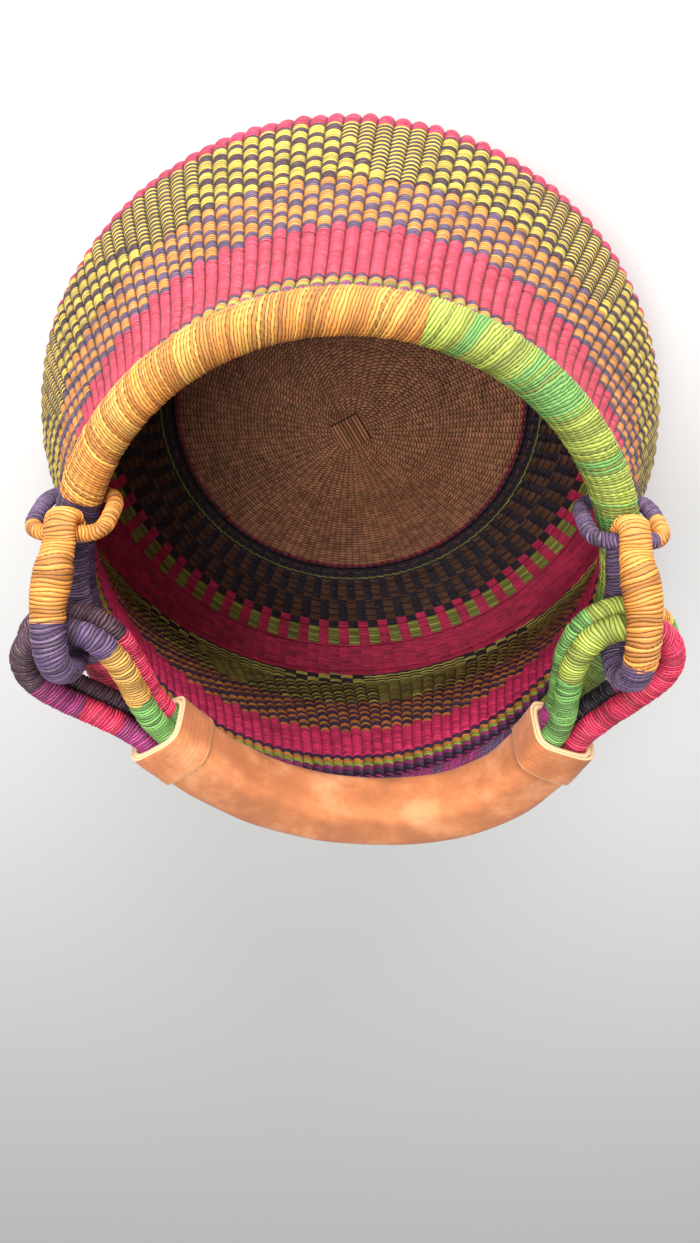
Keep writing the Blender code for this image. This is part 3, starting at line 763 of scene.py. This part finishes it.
def make_band(name, start, end, strands, dyes):
    """One band of the wall: outside up, over the top, inside down, rolled round the axis."""
    ribs = sizes().ribs
    columns = ribs * RIB_COLUMNS
    mesh, column, step = grid_mesh(name, columns, 2 * strands + 2)
    rib_place = column / RIB_COLUMNS
    step = np.where(step > 2 * strands + 1, 0, step)
    inside = step > strands
    strand = np.where(inside, 2 * strands + 1 - step, step)
    column = column % columns
    part = column / RIB_COLUMNS % 1
    rib = (column // RIB_COLUMNS).astype(int)
    chance = random_table(strands + 1, ribs)
    straw_chance = chance[np.minimum(strand, strands - 1).astype(int), rib] - 0.5
    bulge = np.sin(np.pi * part) ** RIB_ROUNDNESS
    slant = RIM_STRAND_SLANT if name == "rim_rows" else STRAND_SLANT
    held = np.clip(np.minimum(strand, strands - strand), 0, 1)
    shifted = strand + (slant * saw_slant(part) + STRAND_WANDER * straw_chance) * held
    points, normals, lengths = wall_outline()
    share = start + (end - start) * np.clip(shifted / strands, 0, 1)
    radius, height = (np.interp(share, lengths, points[:, i]) for i in (0, 1))
    out, up = (np.interp(share, lengths, normals[:, i]) for i in (0, 1))
    near_top = np.clip((1 - share) / HOOP_FADE_SHARE, HOOP_RELIEF_SHARE, 1)
    uneven = 1 + RIB_WANDER * (random_table(ribs)[rib] - 0.5) + STRAW_WANDER * straw_chance
    change = smooth_step((share - INSIDE_CHANGE_START) / INSIDE_CHANGE_LENGTH)
    shown = INSIDE_RELIEF_LOW + (INSIDE_RELIEF_HIGH - INSIDE_RELIEF_LOW) * change
    shown = np.where(inside, shown, 1.0)
    relief = sizes().rib_relief * (bulge * uneven - RIB_SUNK_SHARE) * near_top * shown
    offset = np.where(inside, -WALL_THICKNESS - relief, relief)
    radius = radius + out * offset
    height = np.maximum(height + up * offset, 0)
    turn = 2 * np.pi * column / columns - WALL_TWIST * (1 - share)
    places = np.stack([radius * np.cos(turn) * mouth_squeeze(height), radius * np.sin(turn), height], axis=1)
    set_uv(mesh, rib_place, strand)
    face_rib, face_strand, face_step = face_means(mesh, rib_place, strand, step)
    face_rib = np.minimum(face_rib, ribs - 1).astype(int)
    face_strand = np.clip(face_strand.astype(int), 0, strands - 1)
    face_inside = face_step > strands + 0.5
    picked = BAND_PATTERNS[name](face_rib, face_strand, strands, face_inside) + len(dyes) * face_inside
    dyes += tuple(INSIDE_DYES.get(each, each) for each in dyes)
    # The first value is painted light: painted shade in the hollows between ribs, weaker inside where less
    # relief shows.
    set_straw(mesh, 1 - (1 - bulge) * shown, np.where(inside, 0.1, 1.0), chance[face_strand, face_rib],
              picked, dyes)
    finish_piece(name + "_weave", mesh, places, straw_material(name + "_straw", dyes), "basket", name)


# Base

def dome(radius):
    share = np.minimum(radius / BASE_FLAT_RADIUS, 1.0)
    return BASE_DOME * (1 - share * share) ** 2


def make_base():
    """The disc: over the top from the middle out in strands, then back under it in smooth rings.

    Ribs are added as the disc grows: each doubling keeps them a few millimetres apart.
    """
    columns = sizes().ribs * BASE_RIB_COLUMNS
    strands = round(BASE_RADIUS / BASE_STRAND)
    steps = strands + 1 + BASE_UNDER_STEPS
    mesh, column, step = grid_mesh("base", columns, steps)
    top = step <= strands
    under_share = (steps - step) / BASE_UNDER_STEPS
    radius = BASE_RADIUS * np.where(top, step / strands, under_share)
    whole, halved = BASE_DOUBLING_RADII
    rib_place = column / BASE_RIB_COLUMNS / np.where(radius > whole, 1, np.where(radius > halved, 2, 4))
    part = rib_place % 1
    set_uv(mesh, rib_place, np.where(top, step, radius / BASE_STRAND) + BASE_STRAND_SLANT * part)
    turn = 2 * np.pi * (column % columns) / columns - WALL_TWIST
    bulge = np.sin(np.pi * part) ** BASE_RIB_ROUNDNESS
    shift = -BASE_OFF_CENTRE * (1 - (radius / BASE_RADIUS) ** 2)
    fade_in = np.clip(radius / (START_WIDTH / 2), 0, 1) * (radius < BASE_RADIUS * BASE_RELIEF_END_SHARE)
    relief = (BASE_RIB_RELIEF * bulge - BASE_RIB_SUNK) * fade_in
    height = dome(radius) + np.where(top, BASE_THICKNESS + relief, 0)
    places = np.stack([radius * np.cos(turn), radius * np.sin(turn) + shift, height], axis=1)
    face_column, face_step, face_radius = face_means(mesh, column, step, radius)
    chance = random_table(steps, sizes().ribs + 1)
    tone = chance[face_step.astype(int), (face_column // BASE_RIB_COLUMNS).astype(int)]
    picked = 1.0 * (face_radius > BASE_EDGE_RADIUS) + (face_radius > BASE_EDGE_RADIUS + BASE_EDGE_RING)
    dyes = ("base", "dark_red", "black")
    # The first value is painted light: painted shade in the hollows between the base's ribs.
    set_straw(mesh, 0.22 + 0.78 * bulge, 0.6, tone, picked, dyes)
    material = straw_material("base_straw", dyes, 0.10, 0.98, 1.0, BASE_PALE)
    finish_piece("base_weave", mesh, places, material, "basket", "base_disc")


def make_start():
    """The plaited square in the middle: straws laid side by side, tucked under at two edges."""
    count = START_STRAWS * START_STRAW_COLUMNS
    mesh, column, row = grid_mesh("start", count, count)
    set_uv(mesh, row / START_STRAW_COLUMNS, column / START_STRAW_COLUMNS)
    ridge = np.abs(np.sin(np.pi * column / START_STRAW_COLUMNS))
    rim = np.minimum(np.minimum(column, count - column), np.minimum(row, count - row))
    top = high("plaited_start").z + START_RELIEF * (ridge - (rim < 3))
    height = np.where(rim == 0, low("plaited_start").z, top)
    half = START_WIDTH * START_HALF_SHARE
    across, along = (half * (2 * value / count - 1) for value in (column, row))
    cosine, sine = math.cos(START_TURN), math.sin(START_TURN)
    places = np.stack([across * cosine - along * sine, across * sine + along * cosine - BASE_OFF_CENTRE,
                       height], axis=1)
    tone = random_table(START_STRAWS)[(face_means(mesh, column)[0] // START_STRAW_COLUMNS).astype(int)]
    # The first value is painted light: painted shade where the straws tuck under at the edges and between
    # straws.
    set_straw(mesh, np.where(rim < 2, 0.1, 0.45 + 0.55 * ridge), 0.6, tone, 0, ("base",))
    material = straw_material("start_straw", ("base",), 0.10, 0.9, 0.9, BASE_PALE)
    finish_piece("start_plait", mesh, places, material, "basket", "plaited_start")


# Wraps of coiled straw

def path_frames(path, up, closed):
    """The two directions square to a path at each of its places."""
    if closed:
        along = np.roll(path, -1, axis=0) - np.roll(path, 1, axis=0)
    else:
        along = np.gradient(path, axis=0)
    along = unit(along)
    side = unit(np.cross(along, np.asarray(up)))
    return side, np.cross(side, along)


def resample(path, spacing, closed):
    """Even stations along a smooth curve through the path's points; columns are kept."""
    points = np.vstack([path, path[:1]]) if closed else path
    lengths = lengths_along(points[:, :3])
    count = max(8, round(lengths[-1] / spacing))
    wanted = np.linspace(0, lengths[-1], count + 1)
    slope = np.gradient(points, lengths, axis=0)
    if closed:
        slope[[0, -1]] = (points[1] - points[-2]) / (lengths[1] + lengths[-1] - lengths[-2])
    place = np.clip(np.searchsorted(lengths, wanted, side="right") - 1, 0, len(lengths) - 2)
    gap = (lengths[place + 1] - lengths[place])[:, None]
    share = (wanted[:, None] - lengths[place][:, None]) / gap
    a, b = points[place], points[place + 1]
    p, q = slope[place] * gap, slope[place + 1] * gap
    cubic = ((2 * share ** 3 - 3 * share ** 2 + 1) * a + (share ** 3 - 2 * share ** 2 + share) * p
             + (3 * share ** 2 - 2 * share ** 3) * b + (share ** 3 - share ** 2) * q)
    return cubic, wanted


def ripple(length, around):
    """Hand-laid straws: a smooth, uneven shift of the strands along and round a wrap."""
    return (0.30 * np.sin(0.31 * length + 1.7 * np.sin(around)) + 0.16 * np.sin(0.83 * length - 2 * around)
            + 0.10 * np.sin(1.7 * length + 3 * around))


def make_coil(node, path, halves, up, body, dyes, pitch, lead, dye_ends=(), closed=False,
              seam=-math.pi / 2, nodes=None):
    """A wrapped tube: straws side by side, leading on by some of their widths each turn round."""
    name = node + "_coil"
    halves = np.full((len(path), 2), halves)
    data, length = resample(np.column_stack([path, halves]), pitch / COIL_STEPS, closed)
    side, rise = path_frames(data[:-1, :3] if closed else data[:, :3], up, closed)
    if closed:
        side, rise = (np.vstack([part, part[:1]]) for part in (side, rise))
    stations = len(data) - 1
    caps = 0 if closed else 1
    mesh, step, around = grid_mesh(name, stations + 2 * caps, COIL_SIDES)
    index = np.clip(step - caps, 0, stations).astype(int)
    cap = (step < caps) | (step > stations + caps)
    turn = 2 * np.pi * around / COIL_SIDES + seam
    turns = round(length[-1] / pitch) / length[-1] if closed else 1 / pitch
    held = np.minimum(index, stations - index) / (COIL_STRAIGHT_STRAWS * COIL_STEPS)
    phase = length[index] * turns + lead * around / COIL_SIDES
    phase = phase + ripple(length[index] / pitch, turn) * np.clip(held, 0, 1)
    chance = random_table(COIL_CHANCES)
    straw_chance = chance[np.floor(phase).astype(int) % COIL_CHANCES]
    ridge = np.abs(np.sin(np.pi * phase)) ** COIL_ROUNDNESS
    relief = sizes().coil_relief * (ridge * (0.7 + 0.6 * straw_chance) - COIL_SUNK_SHARE)
    tall, wide = (np.where(cap, 0.0, data[index, i] + relief) for i in (3, 4))
    offset = side[index] * (np.cos(turn) * tall)[:, None] + rise[index] * (np.sin(turn) * wide)[:, None]
    set_uv(mesh, 3 * around / COIL_SIDES + 7.3 * straw_chance, phase)
    face_index, face_phase = face_means(mesh, index.astype(float), phase)
    face_index = face_index.astype(int)
    face_chance = chance[np.floor(face_phase).astype(int) % COIL_CHANCES]
    picked = 0
    if dye_ends:
        share = length[face_index] / length[-1] + COIL_DYE_WANDER * (chance[face_index % COIL_CHANCES] - 0.5)
        picked = sum((share > end).astype(float) for end in dye_ends)
    elif len(dyes) == 2:
        blotch = np.sin(0.23 * face_phase + 1.3 * np.sin(0.11 * face_phase)) + 1.2 * face_chance
        picked = (blotch > 1.25).astype(float)
    # The first value is painted light: painted shade on the wrap's closed ends; the material paints shade
    # between straws.
    set_straw(mesh, np.where(cap, 0.2, 1.0), 0.8, 1.6 * face_chance - 0.3, picked, dyes)
    material = straw_material(name + "_straw", dyes, 0.16, 0.62, 0.75)
    finish_piece(name, mesh, data[index, :3] + offset, material, body, *(nodes or (node,)))


def hoop_path(start, end, steps=200):
    turn = 2 * np.pi * np.linspace(start, end, steps)
    half_width = MOUTH_RADIUS - MOUTH_NARROWING
    half_depth = MOUTH_RADIUS - HOOP_DRAWN_IN
    level = np.full(steps, HOOP_HEIGHT)
    return np.stack([half_width * np.cos(turn), half_depth * np.sin(turn), level], axis=1)


def make_hoop():
    start = HOOP_WRAP_START
    for wrap, end, shades in HOOP_WRAPS:
        make_coil(f"rim_{wrap}_wrap", hoop_path(start, end), HOOP_COIL_RADIUS, (0, 0, 1), "basket",
                  shades.split(), sizes().coil_pitch, HOOP_LEAD)
        start = end


def signed_power(value, power):
    return np.sign(value) * np.abs(value) ** power


def ring_path(pivot):
    half_height = (pivot.z - RING_BOTTOM) / 2
    turn = 2 * np.pi * np.arange(RING_POINTS) / RING_POINTS
    power = 2 / RING_SQUARENESS
    x = pivot.x + RING_HALF_WIDTH * signed_power(np.cos(turn), power)
    z = pivot.z - half_height + half_height * signed_power(np.sin(turn), power)
    return np.stack([x, np.full(RING_POINTS, pivot.y), z], axis=1)


def make_rings():
    for node, pivot, shades, ends in (
            ("left_ring", LEFT_PIVOT, ("orange", "violet", "orange"), (0.40, 0.75)),
            ("right_ring", RIGHT_PIVOT, ("orange", "violet"), (0.15,))):
        make_coil(node, ring_path(pivot), RING_STRAND, (0, 1, 0), "basket", shades, RING_PITCH, RING_LEAD,
                  ends, True, 0.0)


def link_strand(share):
    swell = LINK_RING_STRAND + (LINK_BODY_STRAND - LINK_RING_STRAND) * smooth_step(share / LINK_SWELL_SHARE)
    thinned = smooth_step((share - LINK_SWELL_SHARE) / (1 - LINK_SWELL_SHARE))
    top = LINK_BODY_STRAND + (LINK_TOP_STRAND - LINK_BODY_STRAND) * thinned
    return np.where(share < LINK_SWELL_SHARE, swell, top)


def link_path(side):
    """The link's centre line and strand: eye, upper run, bend and lower run, as the solids have it."""
    eye = LINK_EYE_RADIUS
    climb = HANDLE_PIVOT.z - RIGHT_PIVOT.z
    reach = math.hypot(LINK_REACH, climb)
    slope = math.atan2(climb, LINK_REACH)
    spread = math.radians(90) + math.asin((LINK_BEND_RADIUS - eye) / reach)
    eye_steps, run_steps, bend_steps, under_steps = LINK_PATH_STEPS
    round_eye = np.arange(eye_steps + 1) / eye_steps
    run = np.arange(1, run_steps) / run_steps
    passed = np.arange(bend_steps + 1) / bend_steps
    end_strand = np.where(passed < 0.5, LINK_TOP_STRAND, LINK_UNDER_STRAND)
    bend = end_strand + (LINK_TIP_STRAND - end_strand) * smooth_step(1 - np.abs(2 * passed - 1))
    back = 1 - np.arange(1, under_steps) / under_steps
    share = np.concatenate([0 * round_eye, run, 0 * passed + 1, back])
    turn = np.concatenate([math.tau - spread + (2 * spread - math.tau) * round_eye, 0 * run + spread,
                           spread - 2 * spread * passed, 0 * back - spread])
    strand = np.concatenate([0 * round_eye + LINK_RING_STRAND, link_strand(run), bend,
                             0 * back + LINK_UNDER_STRAND])
    belt = eye + (LINK_BEND_RADIUS - eye) * share
    forward = reach * share + (belt + strand) * np.cos(turn)
    upward = (belt + strand) * np.sin(turn)
    shift = (forward / reach - LINK_SHIFT_START_SHARE) / (LINK_SHIFT_END_SHARE - LINK_SHIFT_START_SHARE)
    x = side * (RIGHT_PIVOT.x + LINK_SPLAY * smooth_step(shift))
    y = RIGHT_PIVOT.y - forward * math.cos(slope) + upward * math.sin(slope)
    z = RIGHT_PIVOT.z + forward * math.sin(slope) + upward * math.cos(slope)
    return np.stack([x, y, z], axis=1), np.stack([strand, np.maximum(strand, LINK_HALF_WIDTH)], axis=1)


def make_links():
    for side, name in ((-1, "left_link"), (1, "right_link")):
        path, strands = link_path(side)
        nodes = (name + "_orange_wrap", name + "_violet_wrap")
        make_coil(name, path, strands, (1, 0, 0), name, ("orange", "violet"), LINK_PITCH, LINK_LEAD,
                  (LINK_DYE_CHANGES[side],), True, math.pi, nodes)


# Handle

def arch_point(share, side):
    """The handle's middle line in its own plane, and the direction outwards from it."""
    back = RIGHT_LOOP_BACK if side > 0 else 0.0
    start = np.array((LOOP_X, LOOP_RADIUS - back))
    pull = np.array((-math.sin(HANDLE_TURNS[side]), math.cos(HANDLE_TURNS[side]))) * END_PULL
    middle = np.array((side * GRIP_SHIFT, HANDLE_DEPTH))
    corners = (start, start + pull, middle + np.array((MIDDLE_PULL, 0.0)), middle)
    step = 1e-3
    share = np.atleast_1d(share)[:, None]
    along = bezier(corners, np.minimum(share + step, 1)) - bezier(corners, share - step)
    return bezier(corners, share), right_of(unit(along))


def rod_spread(share):
    return LAYER_OFFSET + (LOOP_RADIUS - LAYER_OFFSET) * (1 - smooth_step(share / GRIP_START_SHARE))


def loop_outline(side, steps=120):
    """The open half of a loop: out of the leather, round the bend, and back along the inner rod."""
    share = np.linspace(0, GRIP_START_SHARE + GRIP_TUCK_SHARE, steps)
    place, outward = arch_point(share, side)
    spread = rod_spread(share)[:, None]
    centre, first_out = arch_point(0.0, side)
    turn = (np.pi * np.arange(1, steps) / steps)[:, None]
    bend = centre + (first_out * np.cos(turn) + right_of(first_out) * np.sin(turn)) * LOOP_RADIUS
    return np.vstack([(place + outward * spread)[::-1], bend, place - outward * spread])


def in_handle(flat, side, lift):
    """Points of the handle's own plane in the row's frame."""
    forward = np.array((0.0, -math.cos(HANDLE_DIP), -math.sin(HANDLE_DIP)))
    across = flat[:, :1] * (side, 0.0, 0.0)
    return np.array(HANDLE_PIVOT) + across + forward * flat[:, 1:2] + np.array(HANDLE_UP) * lift


def make_handle_loops():
    for loop, wraps in HANDLE_WRAPS.items():
        side = -1 if loop.endswith("left") else 1
        lift = LAYER_OFFSET if loop.startswith("upper") else -LAYER_OFFSET
        outline = loop_outline(side)
        lengths = lengths_along(outline)
        start = 0.0
        for wrap, end, shades, *ends in wraps:
            wanted = np.linspace(start, end, 60) * lengths[-1]
            flat = np.stack([np.interp(wanted, lengths, outline[:, i]) for i in (0, 1)], axis=1)
            make_coil(f"{loop}_{wrap}_wrap", in_handle(flat, side, lift), ROD_RADIUS, HANDLE_UP, "handle",
                      shades.split(), sizes().coil_pitch, HANDLE_LEAD * side, ends)
            start = end


def grip_stations(start, end, count):
    share = np.linspace(start, end, count)
    left, right = (arch_point(1 - np.abs(share), side)[0] for side in (-1, 1))
    left[:, 0] *= -1
    return in_handle(np.where(share[:, None] > 0, right, left), 1, 0.0)


def leather_tube(name, start, end, steps, outer, inner, node, crumple, sewn=False):
    """A squared sleeve of leather: outside along, over the end, inside back."""
    path = grip_stations(start, end, steps + 1)
    side, rise = path_frames(path, HANDLE_UP, False)
    mesh, step, turn_step = grid_mesh(name, 2 * steps + 2, LEATHER_SIDES)
    set_uv(mesh, step, turn_step)
    step = np.where(step > 2 * steps + 1, 0, step)
    inside = step > steps
    index = np.where(inside, 2 * steps + 1 - step, step).astype(int)
    turn = 2 * np.pi * (turn_step % LEATHER_SIDES + 0.5) / LEATHER_SIDES
    across = signed_power(np.cos(turn), 2 / LEATHER_SQUARENESS)
    upward = signed_power(np.sin(turn), 2 / LEATHER_SQUARENESS)
    wave = crumple * (np.sin(9 * turn + 0.35 * index) + np.sin(23 * index / steps * 2 + 3 * turn)) / 2
    half = np.where(inside, inner, outer + wave)
    places = path[index] + side[index] * (across * half)[:, None] + rise[index] * (upward * half)[:, None]
    corner = np.zeros(len(turn))
    if sewn:
        share = np.abs(start + (end - start) * index / steps)
        cuff_start = 1 - GRIP_START_SHARE - CUFF_LENGTH_SHARE
        free = smooth_step((cuff_start - SEAM_CUFF_GAP - share) / SEAM_FADE)
        corner = np.exp(-((turn - SEAM_TURN) / SEAM_WIDTH) ** 2) * free
    places += side[index] * (SEAM_LIP * corner * ~inside)[:, None]
    cut = (index == 0) | (index == steps) | inside
    set_attribute(mesh, "edge", "POINT", np.maximum(corner, cut))
    finish_piece(name, mesh, places, leather_material(name + "_hide"), "handle", node)


def make_leather():
    mouth = 1 - GRIP_START_SHARE
    leather_tube("grip_leather", -mouth, mouth, GRIP_STEPS, GRIP_OUTER, GRIP_INNER, "leather_grip", 0.0003,
                 sewn=True)
    for side, node in ((-1, "left_cuff"), (1, "right_cuff")):
        leather_tube(node + "_leather", side * (mouth - CUFF_LENGTH_SHARE), side * mouth, CUFF_STEPS,
                     CUFF_OUTER, CUFF_OUTER - CUFF_THICKNESS, node, 0.0002)


def dress_cores():
    """The straw bundles inside the wraps stay as the solids have them."""
    material = plain_straw_material("bundle_straw", dye("straw"))
    for node in ("rim_core", "left_link_core", "right_link_core", "upper_loop_core", "lower_loop_core"):
        for slot in frame["nodes"][node].material_slots:
            slot.material = material


# Stage

def make_floor():
    mesh = grid_mesh("floor", 1, 1)[0]
    mesh.transform(Matrix.Scale(FLOOR_SIZE, 4))
    material, _, shader = new_material("floor_paint")
    shader["Base Color"].default_value = FLOOR_COLOUR
    shader["Roughness"].default_value = 0.9
    mesh.materials.append(material)
    add_object("floor", mesh)


def add_area_light(name, place, size, power):
    light = bpy.data.lights.new(name, "AREA")
    light.shape = "DISK"
    light.size = size
    light.energy = power
    aimed = (LAMP_AIM - Vector(place)).to_track_quat("-Z", "Y").to_matrix().to_4x4()
    add_object(name, light).matrix_world = Matrix.Translation(place) @ aimed


def make_camera():
    tilt_cos, tilt_sin = math.cos(CAMERA_TILT), math.sin(CAMERA_TILT)
    roll_cos, roll_sin = math.cos(CAMERA_ROLL), math.sin(CAMERA_ROLL)
    rolled = Matrix(((roll_cos, -roll_sin, 0), (roll_sin, roll_cos, 0), (0, 0, 1)))
    view = rolled @ Matrix(((1, 0, 0), (0, -tilt_cos, tilt_sin), (0, -tilt_sin, -tilt_cos)))
    camera_axes = Matrix((view[0], -view[1], -view[2])).transposed()
    camera = bpy.data.cameras.new("camera")
    camera.sensor_fit = "VERTICAL"
    camera.sensor_height = CAMERA_SENSOR_MM
    camera.lens = CAMERA_LENS_MM
    holder = add_object("camera", camera)
    holder.matrix_world = Matrix.Translation(CAMERA_PLACE) @ camera_axes.to_4x4()
    bpy.context.scene.camera = holder


def make_world():
    world = bpy.data.worlds.new("soft_sky")
    world.use_nodes = True
    background = world.node_tree.nodes["Background"]
    background.inputs[0].default_value = SKY_COLOUR
    background.inputs[1].default_value = SKY_STRENGTH
    bpy.context.scene.world = world


class BasketOperator:
    """What every step of making the basket shares."""
    bl_options = {"REGISTER", "UNDO"}


class BASKET_OT_finishes(BasketOperator, bpy.types.Operator):
    """Build the straw and leather finishes that the pieces share"""
    bl_idname = "basket.finishes"
    bl_label = "Make Finishes"

    def execute(self, context):
        make_straw_group()
        make_leather_group()
        return {"FINISHED"}


class BASKET_OT_base(BasketOperator, bpy.types.Operator):
    """Weave the base and the plaited square in its middle"""
    bl_idname = "basket.base"
    bl_label = "Weave Base"

    def execute(self, context):
        make_base()
        make_start()
        return {"FINISHED"}


class BASKET_OT_wall(BasketOperator, bpy.types.Operator):
    """Weave the bands of the wall from the base up"""
    bl_idname = "basket.wall"
    bl_label = "Weave Wall"

    def execute(self, context):
        start = 0.0
        for name, end, rows, dyes in WALL_BAND_SHARES:
            make_band(name, start, end, rows, dyes)
            start = end
        return {"FINISHED"}


class BASKET_OT_hoop(BasketOperator, bpy.types.Operator):
    """Wrap the rim hoop and the two rings"""
    bl_idname = "basket.hoop"
    bl_label = "Wrap Hoop and Rings"

    def execute(self, context):
        make_hoop()
        make_rings()
        return {"FINISHED"}


class BASKET_OT_links(BasketOperator, bpy.types.Operator):
    """Wrap the two links between the rings and the handle"""
    bl_idname = "basket.links"
    bl_label = "Wrap Links"

    def execute(self, context):
        make_links()
        return {"FINISHED"}


class BASKET_OT_handle(BasketOperator, bpy.types.Operator):
    """Wrap the handle's loops and sew the leather round them"""
    bl_idname = "basket.handle"
    bl_label = "Make Handle"

    def execute(self, context):
        make_handle_loops()
        make_leather()
        dress_cores()
        return {"FINISHED"}


class BASKET_OT_stage(BasketOperator, bpy.types.Operator):
    """Set the floor, the lamps and the camera"""
    bl_idname = "basket.stage"
    bl_label = "Set Stage"

    def execute(self, context):
        make_floor()
        make_world()
        for lamp in LAMPS:
            add_area_light(*lamp)
        make_camera()
        context.scene.view_settings.view_transform = "Standard"
        return {"FINISHED"}


OPERATORS = (BASKET_OT_finishes, BASKET_OT_stage, BASKET_OT_base, BASKET_OT_wall, BASKET_OT_hoop,
             BASKET_OT_links, BASKET_OT_handle)


class BASKET_PT_panel(bpy.types.Panel):
    """Sizes, dyes and the steps that make the basket"""
    bl_idname = "BASKET_PT_panel"
    bl_label = "Basket"
    bl_space_type = "VIEW_3D"
    bl_region_type = "UI"
    bl_category = "Basket"

    def draw(self, context):
        for group in (context.scene.basket_sizes, context.scene.basket_dyes):
            for name in group.bl_rna.properties.keys():
                if name not in {"rna_type", "name"}:
                    self.layout.prop(group, name)
        for step in OPERATORS:
            self.layout.operator(step.bl_idname)


CLASSES = (BasketSizes, BasketDyes, *OPERATORS, BASKET_PT_panel)


def register():
    for each in CLASSES:
        bpy.utils.register_class(each)
    bpy.types.Scene.basket_sizes = bpy.props.PointerProperty(type=BasketSizes)
    bpy.types.Scene.basket_dyes = bpy.props.PointerProperty(type=BasketDyes)


def unregister():
    del bpy.types.Scene.basket_dyes
    del bpy.types.Scene.basket_sizes
    for each in reversed(CLASSES):
        bpy.utils.unregister_class(each)


def main():
    register()
    for step in OPERATORS:
        category, name = step.bl_idname.split(".")
        getattr(getattr(bpy.ops, category), name)()


if __name__ == "__main__":
    main()
